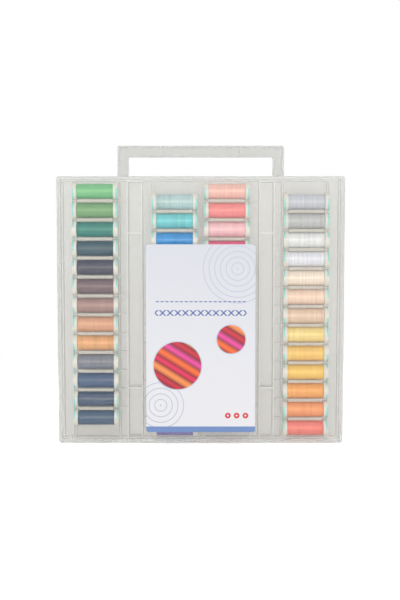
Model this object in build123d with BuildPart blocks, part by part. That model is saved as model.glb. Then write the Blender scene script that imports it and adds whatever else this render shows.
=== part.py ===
from build123d import *
import os

# Slim double-sided case for spools of sewing thread, standing upright.
# Millimetres. The origin is the middle of the base, +X to the right, +Z up,
# and the front faces -Y. The back is the front turned half a turn about Z.

# Case body. Its outside follows from the spools, see below
top_corner_radius = 3.0
bottom_corner_radius = 5.0
divider_thickness = 1.6

# Lids: shallow pans whose panel lies a little below a raised rim
lid_depth = 8.0
lid_wall = 1.8
panel_thickness = 1.6
rim_rise = 1.0
rim_width = 4.6
rim_corner_radius = 2.0
rim_round = 0.8
seam_gap = 0.3

# Lip of the frame that stands inside each lid
lip_wall = 1.4
lip_height = 3.0
lip_clearance = 0.4

# Snap beads that hold a lid shut
bead_length = 40.0
bead_rise = 0.3
bead_width = 0.8
bead_spacing = 230.0

# Hinge along the bottom edge of each lid
hinge_radius = 4.7
hinge_wall = 2.0
hinge_gap = 0.4
boss_length = 12.0
pin_diameter = 3.0
pin_seat_fit = 0.02
pin_running_fit = 0.08
pin_cover = 0.8

# Carrying handle, moulded on the frame with an H-shaped section
handle_width = 208.4
handle_rise = 39.0
handle_depth = 14.0
grip_height = 13.7
leg_width = 13.6
leg_flare = 1.2
leg_flare_height = 3.0
handle_edge = 2.2
handle_web = 2.4
handle_corner_radius = 2.8
finger_corner_radius = 1.2
grip_rib_thickness = 2.0
grip_rib_spacing = 50.0
grip_rib_count = 3

# Spool: a hollow core with two flanges, and a snap ring on one end
spool_length = 57.0
spool_diameter = 22.3
flange_thickness = 2.8
collar_length = 2.7
collar_inset = 0.25
barrel_diameter = 12.0
spool_bore = 6.4
spigot_diameter = 16.0
spigot_bead = 0.4
spigot_bead_length = 0.8
ring_fit = 0.1

# Thread wound on the spool
winding_diameter = 18.6
winding_crown = 0.2
winding_chamfer = 0.8
winding_gap = 0.1

# Space round the spools on each side
spool_count = 13
spool_spacing = 1.45
base_space = 6.6
top_space = 6.8
row_stagger = 13.2
side_space = 14.2
centre_space = 8.2
pocket_length = 11.4
spool_back_gap = 1.6
spool_front_gap = 1.3

# Trays
tray_floor = 1.4
tray_wall = 1.4
tray_wall_height = 12.0
tray_gap = 0.3
saddle_thickness = 1.5
saddle_inset = 0.6
saddle_height = 7.8
saddle_clearance = 0.3
end_stop_height = 10.8
pocket_wall = 1.4
cradle_height = 9.6
cradle_wall = 1.3
cradle_foot = 2.0
rib_thickness = 4.0
rib_end_gap = 1.6
rib_reach = 4.5
rib_round = 1.0
rib_core = 1.6

# Accessory channels, one between each outer and inner column
channel_width = 19.3
channel_wall = 1.4
channel_height = 21.6
channel_end_gap = 1.5
end_compartment = 64.5
channel_rib = 1.6
mark_diameter = 6.0
mark_rise = 0.3
mark_end_distance = 11.0
mark_rib_distance = 48.5

# Card on the front lid
card_width = 136.2
card_height = 235.2
card_bottom = 14.8
card_thickness = 0.3
card_corner_radius = 3.0

# Places of the spools and channels, counted outwards from the middle of the case
spool_pitch = spool_diameter + spool_spacing
lowest_row = base_space + spool_diameter / 2
inner_column = centre_space / 2 + spool_length / 2
channel_centre = inner_column + spool_length / 2 + pocket_length + channel_width / 2
outer_column = channel_centre + channel_width / 2 + pocket_length + spool_length / 2
tray_face_y = divider_thickness / 2 + tray_floor
spool_y = tray_face_y + spool_back_gap + spool_diameter / 2
winding_space = spool_length - 2 * (flange_thickness + collar_length)

# Outside of the case
frame_wall = lid_wall + lip_clearance + lip_wall
case_width = 2 * (outer_column + spool_length / 2 + side_space + frame_wall)
highest_row = lowest_row + row_stagger + (spool_count - 1) * spool_pitch
case_height = highest_row + spool_diameter / 2 + top_space
lid_outer_y = spool_y + spool_diameter / 2 + spool_front_gap + panel_thickness + rim_rise
seam_y = lid_outer_y - lid_depth
frame_half_depth = seam_y - seam_gap
lip_y = seam_y + lip_height
panel_outer_y = lid_outer_y - rim_rise
panel_inner_y = panel_outer_y - panel_thickness
hinge_y = lid_outer_y - hinge_radius
hinge_z = hinge_radius
hinge_clear_radius = hinge_radius + hinge_gap
floor_edge_y = hinge_y - hinge_clear_radius
ear_top = hinge_z + hinge_radius
half_width = case_width / 2
inner_half_width = half_width - frame_wall
barrel_half_length = inner_half_width - hinge_gap

parts_folder = "parts"
os.makedirs(parts_folder, exist_ok=True)


def save(shape, name):
    shape.label = name
    export_step(shape, f"{parts_folder}/{name}.step")


def turned_to_back(shape):
    return shape.rotate(Axis.Z, 180)


def row_heights(is_high):
    first = lowest_row + (row_stagger if is_high else 0)
    return [first + row * spool_pitch for row in range(spool_count)]


# Column centres from left to right, and whether the column stands higher than its neighbours
columns = [
    (-outer_column, True),
    (-inner_column, False),
    (inner_column, True),
    (outer_column, False),
]

# Centre frame: perimeter wall, lips, divider, hinge ears and the handle
with BuildPart() as centre_frame:
    with BuildSketch(Plane.XZ):
        with Locations((0, case_height / 2)):
            Rectangle(case_width, case_height)
            Rectangle(case_width - 2 * frame_wall, case_height - 2 * frame_wall, mode=Mode.SUBTRACT)
    extrude(amount=frame_half_depth, both=True)
    # Lips that stand inside the lids along the top and the sides
    lip_outside = half_width - lid_wall - lip_clearance
    lip_top = case_height - lid_wall - lip_clearance
    with BuildSketch(Plane.XZ):
        with Locations((0, ear_top)):
            Rectangle(2 * lip_outside, lip_top - ear_top, align=(Align.CENTER, Align.MIN))
        Rectangle(2 * inner_half_width, case_height - frame_wall, align=(Align.CENTER, Align.MIN),
                  mode=Mode.SUBTRACT)
    extrude(amount=lip_y, both=True)
    # Outer edges of the floor stop short of the rolled lid edges
    for side in (-1, 1):
        with BuildSketch(Plane.YZ):
            with Locations((side * floor_edge_y, 0)):
                Rectangle(lid_outer_y, ear_top, align=(Align.MIN if side > 0 else Align.MAX, Align.MIN))
        extrude(amount=barrel_half_length + hinge_gap, both=True, mode=Mode.SUBTRACT)
    # Hinge ears at the four bottom corners
    for end in (-1, 1):
        for side in (-1, 1):
            with BuildSketch(Plane.YZ.offset(end * inner_half_width)):
                with Locations((side * hinge_y, hinge_z)):
                    Circle(hinge_radius)
                with Locations((side * hinge_y, 0)):
                    Rectangle(hinge_y - floor_edge_y + frame_wall, ear_top,
                              align=(Align.MAX if side > 0 else Align.MIN, Align.MIN))
            extrude(amount=end * frame_wall)
    # Divider that both trays lie against
    with BuildSketch(Plane.XZ):
        with Locations((0, case_height / 2)):
            Rectangle(case_width - 2 * lid_wall, case_height - 2 * lid_wall)
    extrude(amount=divider_thickness / 2, both=True)
    # Bottom corners are rounded together with the ears
    with BuildSketch(Plane.XZ) as corner_stock:
        Rectangle(case_width, case_height, align=(Align.CENTER, Align.MIN))
        fillet(corner_stock.vertices().group_by(Axis.Y)[0], bottom_corner_radius)
        fillet(corner_stock.vertices().group_by(Axis.Y)[-1], top_corner_radius)
    extrude(amount=lid_outer_y, both=True, mode=Mode.INTERSECT)
    # Handle outline: two flared legs joined by the grip
    with BuildSketch(Plane.XZ) as handle_outline:
        with Locations((0, case_height + handle_rise)):
            Rectangle(handle_width, handle_rise + frame_wall / 2, align=(Align.CENTER, Align.MAX))
        fillet(handle_outline.vertices().group_by(Axis.Y)[-1], handle_corner_radius)
        for side in (-1, 1):
            with BuildLine():
                Polyline(
                    (side * (handle_width / 2 - leg_width - leg_flare), case_height - frame_wall / 2),
                    (side * (handle_width / 2 + leg_flare), case_height - frame_wall / 2),
                    (side * (handle_width / 2 + leg_flare), case_height),
                    (side * handle_width / 2, case_height + leg_flare_height),
                    (side * (handle_width / 2 - leg_width), case_height + leg_flare_height),
                    (side * (handle_width / 2 - leg_width - leg_flare), case_height),
                    close=True,
                )
            make_face()
        with BuildSketch(Plane.XZ, mode=Mode.PRIVATE) as finger_gap:
            with Locations((0, case_height)):
                Rectangle(handle_width - 2 * leg_width, handle_rise - grip_height,
                          align=(Align.CENTER, Align.MIN))
            fillet(finger_gap.vertices().group_by(Axis.Y)[-1], finger_corner_radius)
        add(finger_gap.sketch, mode=Mode.SUBTRACT)
    extrude(amount=handle_depth / 2, both=True)
    # Recesses in both faces of the handle leave an edge all round and ribs across the grip
    with BuildSketch(Plane.XZ) as handle_recess:
        with Locations((0, case_height + handle_rise - handle_edge)):
            Rectangle(handle_width - 2 * handle_edge, handle_rise - 2 * handle_edge,
                      align=(Align.CENTER, Align.MAX))
        fillet(handle_recess.vertices().group_by(Axis.Y)[-1], handle_corner_radius - handle_edge)
        with Locations((0, case_height)):
            Rectangle(handle_width - 2 * (leg_width - handle_edge),
                      handle_rise - grip_height + handle_edge,
                      align=(Align.CENTER, Align.MIN), mode=Mode.SUBTRACT)
        with Locations((0, case_height + handle_rise - grip_height / 2)):
            with GridLocations(grip_rib_spacing, 1, grip_rib_count, 1):
                Rectangle(grip_rib_thickness, grip_height, mode=Mode.SUBTRACT)
    recess_depth = (handle_depth - handle_web) / 2
    for side in (-1, 1):
        extrude(handle_recess.sketch.moved(Location((0, side * handle_web / 2, 0))),
                amount=recess_depth, dir=(0, side, 0), mode=Mode.SUBTRACT)
    # Snap beads on the top lips
    for end in (-1, 1):
        for side in (-1, 1):
            with Locations((end * bead_spacing / 2, side * (lip_y - bead_width / 2), lip_top)):
                Box(bead_length, bead_width, bead_rise / 2, align=(Align.CENTER, Align.CENTER, Align.MIN))
    # Seats of the hinge pins
    for side in (-1, 1):
        with Locations((0, side * hinge_y, hinge_z)):
            Cylinder(pin_diameter / 2 + pin_seat_fit, case_width - 2 * pin_cover, rotation=(0, 90, 0),
                     mode=Mode.SUBTRACT)
save(centre_frame.part, "centre_frame")

# Lid, made for the front
with BuildPart() as front_lid:
    with BuildSketch(Plane.XZ.offset(seam_y)) as lid_outline:
        with Locations((0, hinge_z)):
            Rectangle(case_width, case_height - hinge_z, align=(Align.CENTER, Align.MIN))
        fillet(lid_outline.vertices().group_by(Axis.Y)[-1], top_corner_radius)
    extrude(amount=lid_depth)
    fillet(front_lid.faces().sort_by(Axis.Y)[0].edges().group_by(Axis.Z)[-1], rim_round)
    with BuildSketch(Plane.XZ.offset(seam_y)):
        with Locations((0, hinge_z)):
            Rectangle(case_width - 2 * lid_wall, case_height - hinge_z - lid_wall,
                      align=(Align.CENTER, Align.MIN))
    extrude(amount=panel_inner_y - seam_y, mode=Mode.SUBTRACT)
    # Recessed face of the panel
    with BuildSketch(Plane.XZ.offset(panel_outer_y)) as panel_face:
        with Locations((0, ear_top + hinge_gap)):
            Rectangle(case_width - 2 * rim_width, case_height - rim_width - ear_top - hinge_gap,
                      align=(Align.CENTER, Align.MIN))
        fillet(panel_face.vertices(), rim_corner_radius)
    extrude(amount=rim_rise, mode=Mode.SUBTRACT)
    # Room for the hinge ears
    for end in (-1, 1):
        with BuildSketch(Plane.XZ.offset(seam_y)):
            with Locations((end * barrel_half_length, hinge_z)):
                Rectangle(half_width, ear_top + hinge_gap - hinge_z,
                          align=(Align.MIN if end > 0 else Align.MAX, Align.MIN))
        extrude(amount=lid_depth, mode=Mode.SUBTRACT)
    # Bottom edge rolled round the hinge line
    with BuildSketch(Plane.YZ):
        with Locations((-hinge_y, hinge_z)):
            Circle(hinge_radius)
            Circle(hinge_radius - hinge_wall, mode=Mode.SUBTRACT)
            Rectangle(2 * hinge_radius, hinge_radius, align=(Align.CENTER, Align.MIN), mode=Mode.SUBTRACT)
    extrude(amount=barrel_half_length, both=True)
    # Solid bosses at the ends carry the pins
    boss_centre = barrel_half_length - boss_length / 2
    with Locations((-boss_centre, -hinge_y, hinge_z), (boss_centre, -hinge_y, hinge_z)):
        Cylinder(hinge_radius, boss_length, rotation=(0, 90, 0))
    with Locations((0, -hinge_y, hinge_z)):
        Cylinder(pin_diameter / 2 + pin_running_fit, case_width, rotation=(0, 90, 0), mode=Mode.SUBTRACT)
    # Snap beads under the top edge
    with Locations((-bead_spacing / 2, -seam_y, case_height - lid_wall),
                   (bead_spacing / 2, -seam_y, case_height - lid_wall)):
        Box(bead_length, bead_width, bead_rise / 2, align=(Align.CENTER, Align.MAX, Align.MAX))
save(front_lid.part, "front_lid")
save(turned_to_back(front_lid.part), "rear_lid")

# Hinge pins, one at each end of a lid
with BuildPart() as front_hinge_pins:
    pin_length = frame_wall - pin_cover + hinge_gap + boss_length
    pin_centre = half_width - pin_cover - pin_length / 2
    with Locations((-pin_centre, -hinge_y, hinge_z), (pin_centre, -hinge_y, hinge_z)):
        Cylinder(pin_diameter / 2, pin_length, rotation=(0, 90, 0))
save(front_hinge_pins.part, "front_hinge_pins")
save(turned_to_back(front_hinge_pins.part), "rear_hinge_pins")

# Tray, made for the front: floor, edge, accessory channels and spool saddles
with BuildPart() as front_tray:
    tray_half_width = inner_half_width - tray_gap
    tray_bottom = frame_wall + tray_gap
    tray_height = case_height - 2 * tray_bottom
    back_y = divider_thickness / 2
    with BuildSketch(Plane.XZ.offset(back_y)):
        with Locations((0, case_height / 2)):
            Rectangle(2 * tray_half_width, tray_height)
    extrude(amount=tray_floor)
    with BuildSketch(Plane.XZ.offset(tray_face_y)):
        with Locations((0, case_height / 2)):
            Rectangle(2 * tray_half_width, tray_height)
            Rectangle(2 * (tray_half_width - tray_wall), tray_height - 2 * tray_wall, mode=Mode.SUBTRACT)
    extrude(amount=tray_wall_height - tray_face_y)
    # Saddles: scalloped plates under the two ends of each spool
    saddle_place = spool_length / 2 - saddle_inset - saddle_thickness / 2
    cradle_radius = spool_diameter / 2 + saddle_clearance
    for centre, is_high in columns:
        for end in (-1, 1):
            left = centre + end * saddle_place - saddle_thickness / 2
            with BuildSketch(Plane.YZ.offset(left)):
                with Locations((-tray_face_y, tray_bottom)):
                    Rectangle(saddle_height, tray_height, align=(Align.MAX, Align.MIN))
                with Locations(*[(-spool_y, height) for height in row_heights(is_high)]):
                    Circle(cradle_radius, mode=Mode.SUBTRACT)
            extrude(amount=saddle_thickness)
    # Cradles: ridges between neighbouring spools, from saddle to saddle, cored out from behind
    cradle_length = 2 * saddle_place - saddle_thickness
    core_height = tray_floor + cradle_height - cradle_wall
    for centre, is_high in columns:
        heights = row_heights(is_high)
        spool_centres = [(-spool_y, height) for height in heights]
        with BuildSketch(Plane.YZ.offset(centre - cradle_length / 2)):
            with Locations((-tray_face_y, heights[0])):
                Rectangle(cradle_height, heights[-1] - heights[0], align=(Align.MAX, Align.MIN))
            with Locations(*spool_centres):
                Circle(cradle_radius, mode=Mode.SUBTRACT)
        extrude(amount=cradle_length)
        with BuildSketch(Plane.YZ.offset(centre - cradle_length / 2)):
            with Locations(*[(-back_y, height - spool_pitch / 2) for height in heights[1:]]):
                Rectangle(core_height, spool_pitch - 2 * cradle_foot, align=(Align.MAX, Align.CENTER))
            with Locations(*spool_centres):
                Circle(cradle_radius + cradle_wall, mode=Mode.SUBTRACT)
        extrude(amount=cradle_length, mode=Mode.SUBTRACT)
    # Ribs that rise from the cradles between neighbouring windings, cored out from behind
    rib_length = winding_space - 2 * rib_end_gap
    rib_front = spool_y + rib_reach
    for centre, is_high in columns:
        gap_heights = [height - spool_pitch / 2 for height in row_heights(is_high)[1:]]
        with BuildSketch(Plane.YZ.offset(centre - rib_length / 2)) as rib_section:
            with Locations(*[(-tray_face_y, height) for height in gap_heights]):
                Rectangle(rib_front - tray_face_y, rib_thickness, align=(Align.MAX, Align.CENTER))
            fillet(rib_section.vertices().group_by(Axis.X)[0], rib_round)
        extrude(amount=rib_length)
        with BuildSketch(Plane.YZ.offset(centre - rib_length / 2 + cradle_wall)):
            with Locations(*[(-back_y, height) for height in gap_heights]):
                Rectangle(rib_front - back_y - cradle_wall, rib_core, align=(Align.MAX, Align.CENTER))
        extrude(amount=rib_length - 2 * cradle_wall, mode=Mode.SUBTRACT)
    # End stops: straight plates just past the ends of the spools
    stop_place = spool_length / 2 + saddle_clearance + saddle_thickness / 2
    with BuildSketch(Plane.XZ.offset(tray_face_y)):
        for centre, is_high in columns:
            with Locations((centre - stop_place, case_height / 2), (centre + stop_place, case_height / 2)):
                Rectangle(saddle_thickness, tray_height)
    extrude(amount=end_stop_height)
    # Pocket walls between neighbouring spools, from the end stops to the channels
    channel_outer = channel_centre + channel_width / 2
    channel_inner = channel_centre - channel_width / 2
    outer_stop = outer_column - stop_place
    inner_stop = inner_column + stop_place
    with BuildSketch(Plane.XZ.offset(tray_face_y)):
        for centre, is_high in columns:
            side = 1 if centre > 0 else -1
            if abs(centre) == outer_column:
                start, stop = channel_outer, outer_stop
            else:
                start, stop = inner_stop, channel_inner
            for height in row_heights(is_high)[1:]:
                with Locations((side * (start + stop) / 2, height - spool_pitch / 2)):
                    Rectangle(stop - start, pocket_wall)
    extrude(amount=saddle_height)
    # Saddles and pockets are joined across the gap between spool and end stop
    with BuildSketch(Plane.XZ.offset(tray_face_y)):
        for centre, is_high in columns:
            for end in (-1, 1):
                for height in row_heights(is_high)[1:]:
                    with Locations((centre + end * (saddle_place + stop_place) / 2,
                                    height - spool_pitch / 2)):
                        Rectangle(stop_place - saddle_place, pocket_wall)
    extrude(amount=saddle_height)
    # Accessory channels with their cross ribs
    channel_bottom = tray_bottom + channel_end_gap
    channel_length = case_height - 2 * channel_bottom
    for side in (-1, 1):
        with BuildSketch(Plane.XZ.offset(tray_face_y)):
            with Locations((side * channel_centre, case_height / 2)):
                Rectangle(channel_width, channel_length)
                Rectangle(channel_width - 2 * channel_wall, channel_length - 2 * channel_wall,
                          mode=Mode.SUBTRACT)
                with GridLocations(1, channel_length - 2 * end_compartment, 1, 2):
                    Rectangle(channel_width, channel_rib)
        extrude(amount=channel_height)
    # Flat round marks that moulding leaves in the channel floors
    channel_top = channel_bottom + channel_length
    mark_heights = [
        channel_bottom + end_compartment + mark_rib_distance,
        channel_top - end_compartment - mark_rib_distance,
        channel_top - mark_end_distance,
    ]
    with BuildSketch(Plane.XZ.offset(tray_face_y)):
        for side in (-1, 1):
            with Locations(*[(side * channel_centre, height) for height in mark_heights]):
                Circle(mark_diameter / 2)
    extrude(amount=mark_rise)
    # Room for the rolled lid edge at the bottom
    with Locations((0, -hinge_y, hinge_z)):
        Cylinder(hinge_clear_radius, case_width, rotation=(0, 90, 0), mode=Mode.SUBTRACT)
save(front_tray.part, "front_tray")
save(turned_to_back(front_tray.part), "rear_tray")

# Card on the front lid
with BuildPart() as label_card:
    with BuildSketch(Plane.XZ.offset(panel_outer_y)) as card_outline:
        with Locations((0, card_bottom)):
            Rectangle(card_width, card_height, align=(Align.CENTER, Align.MIN))
        fillet(card_outline.vertices(), card_corner_radius)
    extrude(amount=card_thickness)
save(label_card.part, "label_card")

# Spool core along X, turned on its own axis
with BuildPart() as spool_core:
    with BuildSketch(Plane.XY):
        with BuildLine():
            Polyline(
                (-spool_length / 2, spool_bore / 2),
                (-spool_length / 2, spool_diameter / 2 - collar_inset),
                (-spool_length / 2 + collar_length, spool_diameter / 2 - collar_inset),
                (-spool_length / 2 + collar_length, spool_diameter / 2),
                (-winding_space / 2, spool_diameter / 2),
                (-winding_space / 2, barrel_diameter / 2),
                (winding_space / 2, barrel_diameter / 2),
                (winding_space / 2, spool_diameter / 2),
                (spool_length / 2 - collar_length, spool_diameter / 2),
                (spool_length / 2 - collar_length, spigot_diameter / 2),
                (spool_length / 2 - spigot_bead_length, spigot_diameter / 2),
                (spool_length / 2 - spigot_bead_length, spigot_diameter / 2 + spigot_bead),
                (spool_length / 2, spigot_diameter / 2),
                (spool_length / 2, spool_bore / 2),
                close=True,
            )
        make_face()
    revolve(axis=Axis.X)

# Snap ring that holds the loose end of the thread against the flange
with BuildPart() as snap_ring:
    ring_inner = spigot_diameter / 2 + ring_fit
    with BuildSketch(Plane.XY):
        with BuildLine():
            Polyline(
                (spool_length / 2 - collar_length, ring_inner),
                (spool_length / 2 - collar_length, spool_diameter / 2 - collar_inset),
                (spool_length / 2, spool_diameter / 2 - collar_inset),
                (spool_length / 2, ring_inner + spigot_bead),
                (spool_length / 2 - spigot_bead_length - ring_fit, ring_inner + spigot_bead),
                (spool_length / 2 - spigot_bead_length - ring_fit, ring_inner),
                close=True,
            )
        make_face()
    revolve(axis=Axis.X)

# Thread wound on one spool, with a low crown and sloping ends
with BuildPart() as winding:
    winding_half = winding_space / 2 - winding_gap
    winding_inner = barrel_diameter / 2 + winding_gap
    with BuildSketch(Plane.XY):
        with BuildLine():
            inner_line = Line((winding_half, winding_inner), (-winding_half, winding_inner))
            left_end = Line(inner_line @ 1, (-winding_half, winding_diameter / 2 - winding_chamfer))
            left_slope = Line(
                left_end @ 1,
                (-winding_half + winding_chamfer, winding_diameter / 2 - winding_crown),
            )
            crown = ThreePointArc(
                left_slope @ 1,
                (0, winding_diameter / 2),
                (winding_half - winding_chamfer, winding_diameter / 2 - winding_crown),
            )
            right_slope = Line(crown @ 1, (winding_half, winding_diameter / 2 - winding_chamfer))
            Line(right_slope @ 1, inner_line @ 0)
        make_face()
    revolve(axis=Axis.X)


def copies_at(shape, places):
    with BuildPart() as group:
        with Locations(*places):
            add(shape)
    return group.part


def column_places(number):
    centre, is_high = columns[number]
    return [(centre, -spool_y, height) for height in row_heights(is_high)]


# Cores and snap rings, one node for each column
for number in range(len(columns)):
    places = column_places(number)
    cores = copies_at(spool_core.part, places)
    rings = copies_at(snap_ring.part, places)
    save(cores, f"front_spools_column_{number + 1}")
    save(rings, f"front_snap_rings_column_{number + 1}")
    save(turned_to_back(cores), f"rear_spools_column_{number + 1}")
    save(turned_to_back(rings), f"rear_snap_rings_column_{number + 1}")

# Colour family of each thread, column by column from the top down
front_threads = [
    "green green teal slate slate brown brown peach peach grey blue slate slate",
    "teal teal blue blue blue slate purple purple purple pink purple blue purple",
    "pink red pink pink pink red red brown brown purple purple pink red",
    "grey grey white white cream cream cream yellow yellow yellow orange orange red",
]
rear_threads = [
    "white cream yellow yellow orange orange red red pink pink purple purple slate",
    "cream peach peach brown brown green green green teal teal blue blue slate",
    "grey grey blue blue purple purple pink pink red red orange peach cream",
    "green green teal teal blue blue slate grey brown peach pink white yellow",
]


def places_by_family(threads):
    families = {}
    for number, names in enumerate(threads):
        for place, family in zip(reversed(column_places(number)), names.split()):
            families.setdefault(family, []).append(place)
    return families


for family, places in places_by_family(front_threads).items():
    save(copies_at(winding.part, places), f"front_threads_{family}")
for family, places in places_by_family(rear_threads).items():
    save(turned_to_back(copies_at(winding.part, places)), f"rear_threads_{family}")
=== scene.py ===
import bpy
import math
import random
from mathutils import Matrix, Vector


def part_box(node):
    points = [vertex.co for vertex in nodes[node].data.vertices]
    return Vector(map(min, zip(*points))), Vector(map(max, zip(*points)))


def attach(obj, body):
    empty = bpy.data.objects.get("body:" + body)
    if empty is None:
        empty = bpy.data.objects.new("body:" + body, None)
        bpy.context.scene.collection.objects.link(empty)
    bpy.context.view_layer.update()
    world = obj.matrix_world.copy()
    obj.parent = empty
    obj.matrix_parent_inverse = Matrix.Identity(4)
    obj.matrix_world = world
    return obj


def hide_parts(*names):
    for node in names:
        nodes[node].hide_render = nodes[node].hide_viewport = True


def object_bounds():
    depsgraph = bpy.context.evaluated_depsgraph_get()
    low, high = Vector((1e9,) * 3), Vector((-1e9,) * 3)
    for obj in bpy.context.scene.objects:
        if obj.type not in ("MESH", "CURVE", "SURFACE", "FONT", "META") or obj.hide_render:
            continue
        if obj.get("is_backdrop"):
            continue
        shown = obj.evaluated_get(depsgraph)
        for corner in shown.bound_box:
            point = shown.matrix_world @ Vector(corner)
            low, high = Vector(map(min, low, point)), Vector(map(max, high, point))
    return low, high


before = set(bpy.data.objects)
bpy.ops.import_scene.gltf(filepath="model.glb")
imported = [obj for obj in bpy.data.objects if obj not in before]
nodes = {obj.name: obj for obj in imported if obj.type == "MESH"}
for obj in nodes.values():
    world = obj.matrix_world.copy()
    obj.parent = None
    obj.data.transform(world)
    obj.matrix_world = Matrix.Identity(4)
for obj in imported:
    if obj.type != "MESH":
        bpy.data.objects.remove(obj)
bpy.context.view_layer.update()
print("frame loaded")

mm = 0.001


def toLinear(hexColour):  # sRGB hex to linear RGBA
    parts = [int(hexColour[i:i + 2], 16) / 255 for i in (1, 3, 5)]
    linear = [p / 12.92 if p <= 0.04045 else ((p + 0.055) / 1.055) ** 2.4 for p in parts]
    return (*linear, 1.0)


def addNode(tree, kind, inputs=(), give=None, **settings):  # gives the node, or one of its outputs
    node = tree.nodes.new("ShaderNode" + kind)
    for name, value in settings.items():
        setattr(node, name, value)
    for name, value in (inputs.items() if isinstance(inputs, dict) else enumerate(inputs)):
        if isinstance(value, bpy.types.NodeSocket):
            tree.links.new(value, node.inputs[name])
        else:
            node.inputs[name].default_value = value
    return node if give is None else node.outputs[give]


def startMaterial(name):
    material = bpy.data.materials.new(name)
    material.use_nodes = True
    material.node_tree.nodes.clear()
    tree = material.node_tree
    return material, tree, addNode(tree, "OutputMaterial").inputs["Surface"]


def deselect():
    if bpy.context.object and bpy.context.object.mode != "OBJECT":
        bpy.ops.object.mode_set(mode="OBJECT")
    bpy.ops.object.select_all(action="DESELECT")


def pickFaces(piece, test):  # selects faces by their centre and normal, and leaves the piece in edit mode
    bpy.ops.object.mode_set(mode="EDIT")
    bpy.ops.mesh.select_mode(type="FACE")
    bpy.ops.mesh.select_all(action="DESELECT")
    bpy.ops.object.mode_set(mode="OBJECT")
    for face in piece.data.polygons:
        face.select = test(face.center, face.normal)
    bpy.ops.object.mode_set(mode="EDIT")


def pickEdges(piece, test):  # selects edges by their two ends
    bpy.ops.object.mode_set(mode="EDIT")
    bpy.ops.mesh.select_mode(type="EDGE")
    bpy.ops.mesh.select_all(action="DESELECT")
    bpy.ops.object.mode_set(mode="OBJECT")
    points = piece.data.vertices
    for edge in piece.data.edges:
        edge.select = test(points[edge.vertices[0]].co, points[edge.vertices[1]].co)
    bpy.ops.object.mode_set(mode="EDIT")


def pickPoints(piece, test):
    bpy.ops.object.mode_set(mode="EDIT")
    bpy.ops.mesh.select_mode(type="VERT")
    bpy.ops.mesh.select_all(action="DESELECT")
    bpy.ops.object.mode_set(mode="OBJECT")
    for point in piece.data.vertices:
        point.select = test(point.co)
    bpy.ops.object.mode_set(mode="EDIT")


# Camera: square to the front, a few degrees above, at the photograph's scale

camera = {
    "pixelSize": 1.242 * mm,     # at the front of the case
    "imageHeight": 600,
    "distance": 1.25,
    "elevation": 4.0,            # degrees
    "aim": (-0.9 * mm, -30 * mm, 181 * mm),
    "sensor": 36.0,
}


def makeCamera(c):
    data = bpy.data.cameras.new("camera")
    data.sensor_width = c["sensor"]
    data.lens = c["sensor"] * c["distance"] / (c["imageHeight"] * c["pixelSize"])
    eye = bpy.data.objects.new("camera", data)
    bpy.context.scene.collection.objects.link(eye)
    up = math.radians(c["elevation"])
    back = Vector((0, -math.cos(up), math.sin(up)))
    eye.location = Vector(c["aim"]) + back * c["distance"]
    eye.rotation_mode = "QUATERNION"
    eye.rotation_quaternion = (-back).to_track_quat("-Z", "Y")
    bpy.context.scene.camera = eye


makeCamera(camera)
print("camera placed")

# Studio: pale floor, soft lamps and a white surround

studio = {
    "floorSize": 8.0,
    "floorGap": 0.1 * mm,        # so that a lid lying open doesn't share its plane
    "floorColour": "#FAFAF9",
    "floorGlow": 0.55,           # only seen by the camera, so that the floor reads white
    "clearRadius": (0.45, 0.9),  # between these distances the floor turns plain white for the camera
    "surroundLight": 0.69,
    "lampAim": (0, 0, 0.17),     # the middle of the case
    "lamps": {                   # place, width and height, watts
        "keyLamp": ((-0.15, -2.1, 0.42), (1.6, 0.6), 13.5),
        "topLamp": ((0.1, 0.1, 1.8), (1.0, 1.0), 1.5),
        "backLamp": ((0.2, 1.6, 0.8), (1.2, 1.2), 4.0),
    },
}


def addSeen(tree):  # 1 where the camera, a reflection or glass looks, so that the white shows there only
    path = addNode(tree, "LightPath")
    seen = addNode(tree, "Math", (path.outputs["Is Camera Ray"], path.outputs["Is Glossy Ray"]), 0,
                   operation="MAXIMUM")
    return addNode(tree, "Math", (seen, path.outputs["Is Transmission Ray"]), 0, operation="MAXIMUM")


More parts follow.
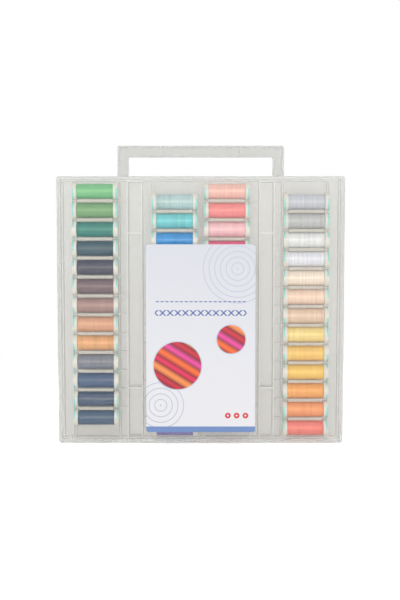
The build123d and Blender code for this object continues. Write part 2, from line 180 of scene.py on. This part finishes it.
def makeStudio(s):
    white = (1, 1, 1, 1)
    deselect()
    bpy.ops.mesh.primitive_plane_add(size=s["floorSize"], location=(0, 0, -s["floorGap"]))
    floor = bpy.context.object
    floor.name = "floor"
    material, tree, surface = startMaterial("matt studio paper")
    paper = addNode(tree, "BsdfDiffuse", {"Color": toLinear(s["floorColour"])}, 0)
    glow = addNode(tree, "Emission", {"Color": white, "Strength": s["floorGlow"]}, 0)
    near = addNode(tree, "AddShader", (paper, glow), 0)
    plain = addNode(tree, "Emission", {"Color": white, "Strength": 1.0}, 0)
    place = addNode(tree, "TexCoord", give="Object")
    away = addNode(tree, "VectorMath", (place,), "Value", operation="LENGTH")
    clearFrom, clearTo = s["clearRadius"]
    fade = addNode(tree, "MapRange", {"Value": away, "From Min": clearFrom, "From Max": clearTo}, 0)
    both = addNode(tree, "MixShader", (fade, near, plain), 0)
    tree.links.new(addNode(tree, "MixShader", (addSeen(tree), paper, both), 0), surface)
    floor.data.materials.append(material)
    floor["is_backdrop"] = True

    world = bpy.data.worlds.new("white surround")
    bpy.context.scene.world = world
    world.use_nodes = True
    tree = world.node_tree
    tree.nodes.clear()
    lit = addNode(tree, "Background", {"Color": white, "Strength": s["surroundLight"]}, 0)
    shown = addNode(tree, "Background", {"Color": white, "Strength": 1.0}, 0)
    both = addNode(tree, "MixShader", (addSeen(tree), lit, shown), 0)
    addNode(tree, "OutputWorld", {"Surface": both})

    for name, (place, size, watts) in s["lamps"].items():
        data = bpy.data.lights.new(name, "AREA")
        data.shape = "RECTANGLE"
        data.size, data.size_y = size
        data.energy = watts
        lamp = bpy.data.objects.new(name, data)
        bpy.context.scene.collection.objects.link(lamp)
        lamp.location = place
        aim = Vector(s["lampAim"]) - Vector(place)
        lamp.rotation_euler = aim.to_track_quat("-Z", "Y").to_euler()


makeStudio(studio)
bpy.context.scene.view_settings.view_transform = "Standard"
bpy.context.scene.cycles.transparent_max_bounces = 32  # a look through both lids passes many thin walls
print("studio lit")

# Frosted polypropylene, injection moulded: milky, so that it veils what lies behind it. The veil is the share
# of milky plastic on faces turned to the front or back, and sideShare scales it on walls seen on edge. Light
# from lamps meets the lightVeil instead, so that the case doesn't darken what it holds. The tones lie at
# distances from the middle of the case, in millimetres, and hold painted light: the frame's outer walls are
# painted lighter where they lie in shade, and the tray is painted lighter towards the lids, darker and warmer
# at the ribs between the windings, painted shade, and whitest at its wall edges, a painted highlight

frosted = {
    "lid": {"veil": 0.045, "lightVeil": 0.0, "roughness": 0.34, "sideShare": 16.0,
            "tonesAndPaintedLight": ((0.0, "#DADAD6"), (30.0, "#DADAD6"))},
    # the frame: handle and divider in the plastic's tone, the outer walls painted lighter against their shade
    "frame": {"veil": 0.52, "lightVeil": 0.03, "roughness": 0.40, "sideShare": 1.1,
              "tonesAndPaintedLight": ((0.0, "#C2C2BE"), (7.5, "#C2C2BE"), (9.5, "#DEDEDA"))},
    # the tray: darker towards its floor and at the ribs between the windings as painted shade, whitest at its
    # wall edges as a painted highlight
    "tray": {"veil": 0.90, "lightVeil": 0.08, "roughness": 0.45, "sideShare": 0.6,
             "tonesAndPaintedLight": ((0.0, "#D9D8D4"), (12.0, "#E2E1DD"), (17.0, "#D3CDC0"), (20.5, "#D3CDC0"),
                        (22.0, "#EEEEEA"))},
    "shadeReach": 30.0,          # half the depth of the case
    "flowScale": 9.0,            # per metre, broad flow marks about 110 mm long
    "flowVeil": 0.08,            # how far these change the veil, as a share of it
    "flowRoughness": 0.06,
    "grain": 0.5 * mm,           # moulded satin texture
    "grainStrength": 0.04,
    "ior": 1.49,
    "scatter": 6.0 * mm,         # light passes through a wall and lights its far side
    "lightShare": 0.95,          # of the light scattered by other surfaces, which meets the lightVeil too
}


def addPassing(tree, share):  # 1 for a lamp's light, the share for light from other surfaces, 0 for a look
    path = addNode(tree, "LightPath").outputs
    scattered = addNode(tree, "Math", (path["Is Diffuse Ray"], share), 0, operation="MULTIPLY")
    return addNode(tree, "Math", (path["Is Shadow Ray"], scattered), 0, operation="MAXIMUM")


def letLightThrough(tree, surface, shader, lightVeil, lightShare, veil=1.0):  # clear where there is no veil
    clear = addNode(tree, "BsdfTransparent", give=0)
    passing = addPassing(tree, lightShare)
    factor = addNode(tree, "Mix", {0: passing, 2: veil, 3: lightVeil}, 0)
    tree.links.new(addNode(tree, "MixShader", (factor, clear, shader), 0), surface)


def frostedPolypropylene(name, look, common):
    material, tree, surface = startMaterial(name)
    place = addNode(tree, "TexCoord", give="Object")
    flow = addNode(tree, "TexNoise", {"Vector": place, "Scale": common["flowScale"], "Detail": 3.0}, 0)
    grain = addNode(tree, "TexNoise", {"Vector": place, "Scale": 1 / common["grain"], "Detail": 2.0}, 0)
    rough = addNode(tree, "MapRange", {
        "Value": flow, "To Min": look["roughness"] - common["flowRoughness"],
        "To Max": look["roughness"] + common["flowRoughness"]}, 0)
    bump = addNode(tree, "Bump", {
        "Height": grain, "Strength": common["grainStrength"], "Distance": common["grain"]}, 0)
    depth = addNode(tree, "Math", (addNode(tree, "SeparateXYZ", (place,), "Y"),), 0, operation="ABSOLUTE")
    step = addNode(tree, "Math", (depth, common["shadeReach"] * mm), 0, operation="DIVIDE")
    # a ramp of tones by distance from the middle of the case, with painted light and shade in it
    tonesAndPaintedLight = addNode(tree, "ValToRGB", (step,))
    stops = tonesAndPaintedLight.color_ramp.elements
    while len(stops) < len(look["tonesAndPaintedLight"]):
        stops.new(1.0)
    for stop, (distance, colour) in zip(stops, look["tonesAndPaintedLight"]):
        stop.position = distance / common["shadeReach"]
        stop.color = toLinear(colour)
    plastic = addNode(tree, "BsdfPrincipled", {
        "Base Color": tonesAndPaintedLight.outputs[0], "Roughness": rough, "IOR": common["ior"], "Normal": bump,
        "Subsurface Weight": 1.0, "Subsurface Radius": (1, 1, 1), "Subsurface Scale": common["scatter"]}, 0)
    milk = addNode(tree, "MapRange", {
        "Value": flow, "To Min": look["veil"] * (1 - common["flowVeil"]),
        "To Max": look["veil"] * (1 + common["flowVeil"])}, 0)
    turned = addNode(tree, "SeparateXYZ", (addNode(tree, "TexCoord", give="Normal"),), "Y")
    facing = addNode(tree, "Math", (turned,), 0, operation="ABSOLUTE")
    share = addNode(tree, "MapRange", {"Value": facing, "To Min": look["sideShare"]}, 0)
    veil = addNode(tree, "Math", (milk, share), 0, operation="MULTIPLY")
    letLightThrough(tree, surface, plastic, look["lightVeil"], common["lightShare"], veil)
    return material


def dress(nodeName, material):
    node = nodes[nodeName]
    node.data.materials.clear()
    node.data.materials.append(material)


lidPlastic = frostedPolypropylene("frosted polypropylene lid", frosted["lid"], frosted)
framePlastic = frostedPolypropylene("frosted polypropylene frame", frosted["frame"], frosted)
trayPlastic = frostedPolypropylene("natural polypropylene tray", frosted["tray"], frosted)
dress("front_lid", lidPlastic)
dress("rear_lid", lidPlastic)
dress("centre_frame", framePlastic)
dress("front_hinge_pins", framePlastic)
dress("rear_hinge_pins", framePlastic)
dress("front_tray", trayPlastic)
dress("rear_tray", trayPlastic)
print("case dressed")

# Spools: moulded polystyrene, cream with a soft gloss. Turquoise marks are printed round both end collars

spools = {
    "cream": "#E4E0D4",
    "print": "#96DAD2",
    "collar": 2.7 * mm,
    "count": 13,                 # in a column
    "marks": 2,                  # printed round each collar
    "markShare": 0.6,
    "markReach": (0.10, 0.92),   # from the spool's end, as a share of the collar
    "roughness": (0.30, 0.42),
    "shineScale": 220.0,         # per metre, patches about 5 mm wide
    "ior": 1.59,
    "lightVeil": 0.15,           # thin polystyrene, so that part of the light comes through
    "lightShare": 0.95,
}


def spoolPlaces(nodeName, count):  # centres of a column's spools, from the lowest up
    low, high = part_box(nodeName)
    radius = (high.y - low.y) / 2
    pitch = (high.z - low.z - 2 * radius) / (count - 1)
    middle = (low + high) / 2
    return [Vector((middle.x, middle.y, low.z + radius + row * pitch)) for row in range(count)]


def printedPolystyrene(name, look, places, halfLength):
    material, tree, surface = startMaterial(name)
    place = addNode(tree, "TexCoord", give="Object")
    parts = addNode(tree, "SeparateXYZ", (place,)).outputs
    pitch = places[1].z - places[0].z
    across = addNode(tree, "Math", (parts["X"], places[0].x), 0, operation="SUBTRACT")
    along = addNode(tree, "Math", (across,), 0, operation="ABSOLUTE")
    height = addNode(tree, "Math", (parts["Z"], places[0].z), 0, operation="SUBTRACT")
    up = addNode(tree, "Math", (height, pitch / 2, -pitch / 2), 0, operation="WRAP")
    out = addNode(tree, "Math", (parts["Y"], places[0].y), 0, operation="SUBTRACT")
    angle = addNode(tree, "Math", (up, out), 0, operation="ARCTAN2")
    steps = addNode(tree, "Math", (angle, look["marks"] / math.tau), 0, operation="MULTIPLY")
    rows = addNode(tree, "Math", (height, pitch), 0, operation="DIVIDE")
    row = addNode(tree, "Math", (rows,), 0, operation="ROUND")
    shift = addNode(tree, "TexWhiteNoise", {"W": row}, "Value", noise_dimensions="1D")
    turned = addNode(tree, "Math", (steps, shift), 0, operation="ADD")
    step = addNode(tree, "Math", (turned, 1.0, 0.0), 0, operation="WRAP")
    mark = addNode(tree, "Math", (step, look["markShare"]), 0, operation="LESS_THAN")
    outer, inner = (halfLength - look["collar"] * share for share in look["markReach"])
    beyond = addNode(tree, "Math", (along, inner), 0, operation="GREATER_THAN")
    within = addNode(tree, "Math", (along, outer), 0, operation="LESS_THAN")
    band = addNode(tree, "Math", (beyond, within), 0, operation="MULTIPLY")
    inked = addNode(tree, "Math", (mark, band), 0, operation="MULTIPLY")
    colour = addNode(tree, "Mix", {0: inked, 6: toLinear(look["cream"]), 7: toLinear(look["print"])}, 2,
                     data_type="RGBA")
    shine = addNode(tree, "TexNoise", {"Vector": place, "Scale": look["shineScale"]}, 0)
    smooth, dull = look["roughness"]
    rough = addNode(tree, "MapRange", {"Value": shine, "To Min": smooth, "To Max": dull}, 0)
    plastic = addNode(tree, "BsdfPrincipled", {
        "Base Color": colour, "Roughness": rough, "IOR": look["ior"]}, 0)
    letLightThrough(tree, surface, plastic, look["lightVeil"], look["lightShare"])
    return material


columns = {}                     # face and number to the places of the column's spools
for face in ("front", "rear"):
    for number in (1, 2, 3, 4):
        name = f"{face}_spools_column_{number}"
        places = spoolPlaces(name, spools["count"])
        columns[face, number] = places
        low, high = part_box(name)
        plastic = printedPolystyrene(f"printed polystyrene {name}", spools, places, (high.x - low.x) / 2)
        dress(name, plastic)
        dress(name.replace("spools", "snap_rings"), plastic)
print("spools dressed")

# Threads: rayon wound in close turns, silky, each spool in its own colour

threadColours = {
    "spring green": "#7DC995", "olive green": "#7AAE80", "jade": "#0A8C86", "pine": "#205A73",
    "bark": "#3E4969", "rosewood": "#7A6877", "mauve brown": "#AD8E8E", "sand": "#E0AC90",
    "orange tan": "#E9B282", "pewter": "#828A9B", "denim": "#3D628C", "ink": "#405D81",
    "slate blue": "#3C6487", "ice aqua": "#B6D2D4", "turquoise": "#70D0D6", "bright blue": "#0098DC",
    "royal blue": "#2B5FC0", "cobalt": "#3B4BA8", "navy": "#2C3A6C", "violet": "#6F52AE",
    "purple": "#83489C", "plum": "#6A3A78", "lilac": "#9184C8", "peach pink": "#F5C6BD",
    "coral": "#FF9598", "light pink": "#FDC8CE", "rose": "#EC5C90", "deep pink": "#DB3F7C",
    "scarlet": "#D9303A", "wine": "#8E2A3E", "chestnut": "#7B4536", "mist": "#CACED6",
    "silver grey": "#C1C5C7", "white": "#E7E9EB", "lavender white": "#E5E7F0", "cream": "#FBE7D8",
    "pale peach": "#F6D9C6", "beige": "#E8CEBA", "yellow": "#FFDE9A", "amber": "#FFCD7B",
    "golden yellow": "#FFCF76", "orange": "#FFB06C", "deep orange": "#FFA677", "coral red": "#FF8B85",
    "leaf green": "#3E9E4C", "moss": "#6E8B3C", "aqua": "#58BFB6",
}

threadRows = {                   # from the top spool down
    ("front", 1): ["spring green", "olive green", "jade", "pine", "bark", "rosewood", "mauve brown", "sand",
                   "orange tan", "pewter", "denim", "ink", "slate blue"],
    ("front", 2): ["ice aqua", "turquoise", "bright blue", "royal blue", "cobalt", "navy", "violet",
                   "purple", "plum", "violet", "cobalt", "purple", "lilac"],
    ("front", 3): ["peach pink", "coral", "light pink", "rose", "deep pink", "scarlet", "wine", "chestnut",
                   "rosewood", "plum", "purple", "deep pink", "scarlet"],
    ("front", 4): ["mist", "silver grey", "white", "lavender white", "cream", "pale peach", "beige",
                   "yellow", "amber", "golden yellow", "orange", "deep orange", "coral red"],
    ("rear", 1): ["white", "cream", "yellow", "amber", "orange", "deep orange", "coral", "scarlet",
                  "light pink", "rose", "purple", "lilac", "ink"],
    ("rear", 2): ["cream", "pale peach", "sand", "chestnut", "rosewood", "moss", "leaf green",
                  "olive green", "jade", "aqua", "denim", "bright blue", "slate blue"],
    ("rear", 3): ["silver grey", "mist", "denim", "royal blue", "purple", "violet", "light pink",
                  "deep pink", "coral", "wine", "orange", "sand", "cream"],
    ("rear", 4): ["leaf green", "spring green", "turquoise", "ice aqua", "bright blue", "cobalt", "pine",
                  "pewter", "bark", "beige", "peach pink", "lavender white", "golden yellow"],
}

winding = {
    "radius": 9.4 * mm,
    "bore": 6.15 * mm,
    "length": 45.7 * mm,
    "sides": 28,
    "cuts": 11,                  # rings between the two ends
    "shoulder": 0.8 * mm,        # the layers end a little shorter towards the outside
    "crown": 0.012,              # fuller in the middle, as a share of the radius
    "ripple": 0.006,             # uneven layers
    "smoothAngle": 40,           # degrees
    "scatter": 3.5 * mm,         # light spreads in the outer layers
    "scatterShare": 0.9,
    "lightVeil": 0.3,            # and part of it comes through
    "lightShare": 0.95,
    "gloss": "#FFE6A8",          # a lustre a little warmer than the dye
    "glossLevel": 0.6,
    "metallic": 0.08,            # rayon's sheen takes some of the dye's colour
    "roughness": (0.28, 0.38),
    "ior": 1.54,
    "threadPitch": 2.0 * mm,     # real turns lie 0.25 mm apart, drawn coarser so that they show
    "turnHeight": 0.25 * mm,
    "turnStrength": 0.35,
    "paintedTurnShade": (0.86, 1.12),   # painted shade between the turns, painted light on them
    "turnSpread": (0.3, 0.7),    # part of the noise that these two tones take up
    "seed": 7,
}


def makeWinding(w):
    draws = random.Random(w["seed"])
    deselect()
    bpy.ops.mesh.primitive_cylinder_add(vertices=w["sides"], radius=w["radius"], depth=w["length"],
                                        rotation=(0, math.pi / 2, 0))
    piece = bpy.context.object
    bpy.ops.object.transform_apply(rotation=True)
    half = w["length"] / 2
    pickEdges(piece, lambda a, b: abs(a.x - b.x) > half)
    bpy.ops.mesh.subdivide(number_cuts=w["cuts"])
    bpy.ops.object.mode_set(mode="OBJECT")
    for ring in range(1, w["cuts"] + 1):
        x = -half + ring * w["length"] / (w["cuts"] + 1)
        pickPoints(piece, lambda point: abs(point.x - x) < 0.2 * mm)
        swell = 1 + w["crown"] * (1 - (x / half) ** 2) - w["crown"] + draws.uniform(-1, 0) * w["ripple"]
        bpy.ops.transform.resize(value=(1, swell, swell))
    pickFaces(piece, lambda centre, normal: abs(normal.x) > 0.9)
    bpy.ops.mesh.bevel(offset=w["shoulder"], segments=2)
    bpy.ops.object.mode_set(mode="OBJECT")
    pickFaces(piece, lambda centre, normal: abs(normal.x) > 0.999 and abs(centre.x) > half - 0.01 * mm)
    bpy.ops.mesh.inset(thickness=w["radius"] - w["shoulder"] - w["bore"])
    bpy.ops.mesh.bridge_edge_loops()
    bpy.ops.mesh.select_all(action="SELECT")
    bpy.ops.mesh.normals_make_consistent(inside=False)
    bpy.ops.object.mode_set(mode="OBJECT")
    bpy.ops.object.shade_smooth_by_angle(angle=math.radians(w["smoothAngle"]))
    return piece


def rayonThread(name, look):  # silky: a bright line of light along each spool, fine lines round it
    material, tree, surface = startMaterial(name)
    place = addNode(tree, "TexCoord", give="Object")
    x = addNode(tree, "SeparateXYZ", (place,), "X")
    dye = addNode(tree, "Attribute", give="Color", attribute_name="dye")
    lay = addNode(tree, "Attribute", give="Fac", attribute_name="lay")
    turns = addNode(tree, "Math", (x, look["threadPitch"]), 0, operation="DIVIDE")
    lines = addNode(tree, "CombineXYZ", (turns, lay, 0.0), 0)
    strands = addNode(tree, "TexNoise", {"Vector": lines, "Scale": 1.0, "Detail": 2.0}, 0)
    # painted shade between the turns and painted light on them, darkening and lightening the dye
    (lowest, highest), (dark, bright) = look["turnSpread"], look["paintedTurnShade"]
    shade = addNode(tree, "MapRange", {
        "Value": strands, "From Min": lowest, "From Max": highest, "To Min": dark, "To Max": bright}, 0)
    tone = addNode(tree, "VectorMath", {0: dye, "Scale": shade}, 0, operation="SCALE")
    smooth, dull = look["roughness"]
    rough = addNode(tree, "MapRange", {"Value": strands, "To Min": smooth, "To Max": dull}, 0)
    bump = addNode(tree, "Bump", {
        "Height": strands, "Strength": look["turnStrength"], "Distance": look["turnHeight"]}, 0)
    thread = addNode(tree, "BsdfPrincipled", {
        "Base Color": tone, "Roughness": rough, "IOR": look["ior"], "Specular IOR Level": look["glossLevel"],
        "Specular Tint": toLinear(look["gloss"]), "Metallic": look["metallic"], "Normal": bump,
        "Subsurface Weight": look["scatterShare"], "Subsurface Radius": (1, 1, 1),
        "Subsurface Scale": look["scatter"]}, 0)
    letLightThrough(tree, surface, thread, look["lightVeil"], look["lightShare"])
    return material


def threadNodeSpools(node, face):  # which spools carry this node's thread: (column, row from the top)
    found = set()
    for point in node.data.vertices:
        number = min((1, 2, 3, 4), key=lambda n: abs(columns[face, n][0].x - point.co.x))
        places = columns[face, number]
        pitch = places[1].z - places[0].z
        row = round((point.co.z - places[0].z) / pitch)
        found.add((number, len(places) - 1 - row))
    return sorted(found)


def paint(piece, colour, lay):
    marks = piece.data.attributes
    count = len(piece.data.vertices)
    marks.new("dye", "FLOAT_COLOR", "POINT")
    marks.new("lay", "FLOAT", "POINT")
    marks["dye"].data.foreach_set("color", colour * count)
    marks["lay"].data.foreach_set("value", [lay] * count)


def makeThreads(w):
    template = makeWinding(w)
    material = rayonThread("wound rayon thread", w)
    draws = random.Random(w["seed"] + 1)
    for face in ("front", "rear"):
        for nodeName in sorted(name for name in nodes if name.startswith(f"{face}_threads_")):
            copies = []
            for number, row in threadNodeSpools(nodes[nodeName], face):
                copy = template.copy()
                copy.data = template.data.copy()
                bpy.context.scene.collection.objects.link(copy)
                places = columns[face, number]
                copy.data.transform(Matrix.Translation(places[len(places) - 1 - row])
                                    @ Matrix.Rotation(draws.uniform(0, math.tau), 4, "X"))
                paint(copy, toLinear(threadColours[threadRows[face, number][row]]), draws.uniform(0, 500))
                copies.append(copy)
            deselect()
            for copy in copies:
                copy.select_set(True)
            bpy.context.view_layer.objects.active = copies[0]
            if len(copies) > 1:
                bpy.ops.object.join()
            piece = bpy.context.object
            piece.name = nodeName.replace("threads", "windings")
            piece.data.name = piece.name
            piece.data.materials.clear()
            piece.data.materials.append(material)
            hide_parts(nodeName)
            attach(piece, "case")
    bpy.data.objects.remove(template, do_unlink=True)


makeThreads(winding)
print("threads wound")

# Card: coated board, printed with plain stitches and discs. Places are millimetres from its bottom middle

card = {
    "corner": 3.0 * mm,
    "edge": 0.06 * mm,
    "fibreScale": 900.0,         # per metre, fibres about 1 mm long
    "roughness": (0.32, 0.42),
    "ior": 1.5,
    "lightVeil": 0.3,            # thin board, so that part of the light comes through
    "lightShare": 0.95,
    "top": "#D5D7DF",
    "bottom": "#F0F0F4",
    "band": "#7492C8",
    "bandHeight": 7.2,
    "ringColour": "#C2C7DA",
    "ringStep": 7.0,
    "ringWidth": 0.16,           # share of a step
    "rings": (((46, 205), 44), ((-50, 34), 30)),      # centre, outer radius
    "stitchColour": "#4B64A6",
    "crosses": (150, 9.5, 2.2),                        # height, pitch, thickness
    "crossShare": 0.76,          # of the pitch
    "dashes": (164, 6.0, 1.3),                         # height, pitch, thickness
    "dashShare": 0.64,
    "margin": 57,
    "discs": (((-29, 84), 31), ((38, 117), 19)),
    "discRim": 1.3,
    "rimColour": "#C9CEDD",
    "stripeSlope": 0.62,
    "stripePitch": 11.0,
    "stripeShade": (0.45, 1.25), # darker where two stripes meet
    "stripes": ("#D9214E", "#F4662C", "#E0408F", "#C22036", "#F58B4A"),
    "buttons": ((34, 21), (45, 21), (56, 21)),
    "buttonRadius": 3.6,
    "buttonColour": "#DE3340",
}


def coatedBoard(name, c, middle, bottom, height):  # smooth and slightly glossy; ink lies flat on it
    material, tree, surface = startMaterial(name)
    place = addNode(tree, "TexCoord", give="Object")
    moved = addNode(tree, "VectorMath", (place, (middle, 0, bottom)), 0, operation="SUBTRACT")
    scaled = addNode(tree, "VectorMath", {0: moved, "Scale": 1 / mm}, 0, operation="SCALE")
    parts = addNode(tree, "SeparateXYZ", (scaled,)).outputs
    x, z = parts["X"], parts["Z"]
    flat = addNode(tree, "CombineXYZ", (x, 0.0, z), 0)
    side = addNode(tree, "Math", (x,), 0, operation="ABSOLUTE")
    within = addNode(tree, "Math", (side, c["margin"]), 0, operation="LESS_THAN")
    up = addNode(tree, "Math", (z, height), 0, operation="DIVIDE")
    colour = addNode(tree, "Mix", {0: up, 6: toLinear(c["bottom"]), 7: toLinear(c["top"])}, 2,
                     data_type="RGBA")

    def inDisc(centre, radius):
        away = addNode(tree, "VectorMath", (flat, (centre[0], 0, centre[1])), "Value", operation="DISTANCE")
        return away, addNode(tree, "Math", (away, radius), 0, operation="LESS_THAN")

    def printInk(under, ink, *masks):  # lays ink where every mask is 1
        share = masks[0]
        for mask in masks[1:]:
            share = addNode(tree, "Math", (share, mask), 0, operation="MULTIPLY")
        return addNode(tree, "Mix", {0: share, 6: under, 7: ink}, 2, data_type="RGBA")

    def fromLine(level, pitch):  # how far up or down from a level, and along from the middle of a cell
        offset = addNode(tree, "Math", (z, level), 0, operation="SUBTRACT")
        cell = addNode(tree, "Math", (x, pitch / 2, -pitch / 2), 0, operation="WRAP")
        return (addNode(tree, "Math", (offset,), 0, operation="ABSOLUTE"),
                addNode(tree, "Math", (cell,), 0, operation="ABSOLUTE"))

    for centre, radius in c["rings"]:
        away, inside = inDisc(centre, radius)
        step = addNode(tree, "Math", (away, c["ringStep"]), 0, operation="DIVIDE")
        part = addNode(tree, "Math", (step,), 0, operation="FRACT")
        line = addNode(tree, "Math", (part, c["ringWidth"]), 0, operation="LESS_THAN")
        colour = printInk(colour, toLinear(c["ringColour"]), line, inside)

    level, pitch, thick = c["dashes"]
    tall, along = fromLine(level, pitch)
    dash = addNode(tree, "Math", (along, pitch * c["dashShare"] / 2), 0, operation="LESS_THAN")
    near = addNode(tree, "Math", (tall, thick / 2), 0, operation="LESS_THAN")
    colour = printInk(colour, toLinear(c["stitchColour"]), dash, near, within)
    level, pitch, thick = c["crosses"]
    tall, along = fromLine(level, pitch)
    arm = addNode(tree, "Math", (along, tall, thick / 2), 0, operation="COMPARE")
    short = addNode(tree, "Math", (tall, pitch * c["crossShare"] / 2), 0, operation="LESS_THAN")
    colour = printInk(colour, toLinear(c["stitchColour"]), arm, short, within)

    lean = addNode(tree, "Math", (x, c["stripeSlope"], z), 0, operation="MULTIPLY_ADD")
    turn = addNode(tree, "Math", (lean, len(c["stripes"]) * c["stripePitch"]), 0, operation="DIVIDE")
    part = addNode(tree, "Math", (turn,), 0, operation="FRACT")
    ramp = addNode(tree, "ValToRGB", (part,))
    ramp.color_ramp.interpolation = "CONSTANT"
    while len(ramp.color_ramp.elements) < len(c["stripes"]):
        ramp.color_ramp.elements.new(0.5)
    for index, ink in enumerate(c["stripes"]):
        ramp.color_ramp.elements[index].position = index / len(c["stripes"])
        ramp.color_ramp.elements[index].color = toLinear(ink)
    fine = addNode(tree, "Math", (lean, c["stripePitch"]), 0, operation="DIVIDE")
    fold = addNode(tree, "Math", (fine, 0.5), 0, operation="PINGPONG")
    shade = addNode(tree, "MapRange", {
        "Value": fold, "From Max": 0.5, "To Min": c["stripeShade"][0], "To Max": c["stripeShade"][1]}, 0)
    stripes = addNode(tree, "VectorMath", {0: ramp.outputs[0], "Scale": shade}, 0, operation="SCALE")
    for centre, radius in c["discs"]:
        colour = printInk(colour, toLinear(c["rimColour"]), inDisc(centre, radius)[1])
        colour = printInk(colour, stripes, inDisc(centre, radius - c["discRim"])[1])
    for centre in c["buttons"]:
        colour = printInk(colour, toLinear(c["buttonColour"]), inDisc(centre, c["buttonRadius"])[1])
        colour = printInk(colour, toLinear(c["bottom"]), inDisc(centre, c["buttonRadius"] / 3)[1])
    inBand = addNode(tree, "Math", (z, c["bandHeight"]), 0, operation="LESS_THAN")
    colour = printInk(colour, toLinear(c["band"]), inBand)

    fibre = addNode(tree, "TexNoise", {"Vector": place, "Scale": c["fibreScale"], "Detail": 2.0}, 0)
    smooth, dull = c["roughness"]
    rough = addNode(tree, "MapRange", {"Value": fibre, "To Min": smooth, "To Max": dull}, 0)
    board = addNode(tree, "BsdfPrincipled", {"Base Color": colour, "Roughness": rough, "IOR": c["ior"]}, 0)
    letLightThrough(tree, surface, board, c["lightVeil"], c["lightShare"])
    return material


def makeCard(c):
    low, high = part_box("label_card")
    deselect()
    bpy.ops.mesh.primitive_cube_add(size=1, location=(low + high) / 2, scale=high - low)
    piece = bpy.context.object
    bpy.ops.object.transform_apply(location=True, scale=True)
    pickEdges(piece, lambda a, b: abs(a.y - b.y) > 0.1 * mm)
    bpy.ops.mesh.bevel(offset=c["corner"], segments=5)
    bpy.ops.object.mode_set(mode="OBJECT")
    pickFaces(piece, lambda centre, normal: abs(normal.y) > 0.9)
    bpy.ops.mesh.bevel(offset=c["edge"], segments=1)
    bpy.ops.object.mode_set(mode="OBJECT")
    bpy.ops.object.shade_smooth_by_angle(angle=math.radians(30))
    piece.name = "card"
    piece.data.name = "card"
    middle = (low.x + high.x) / 2
    piece.data.materials.append(coatedBoard("coated card", c, middle, low.z, (high.z - low.z) / mm))
    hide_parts("label_card")
    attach(piece, "front_lid")


makeCard(card)
print("card printed")

low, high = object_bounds()
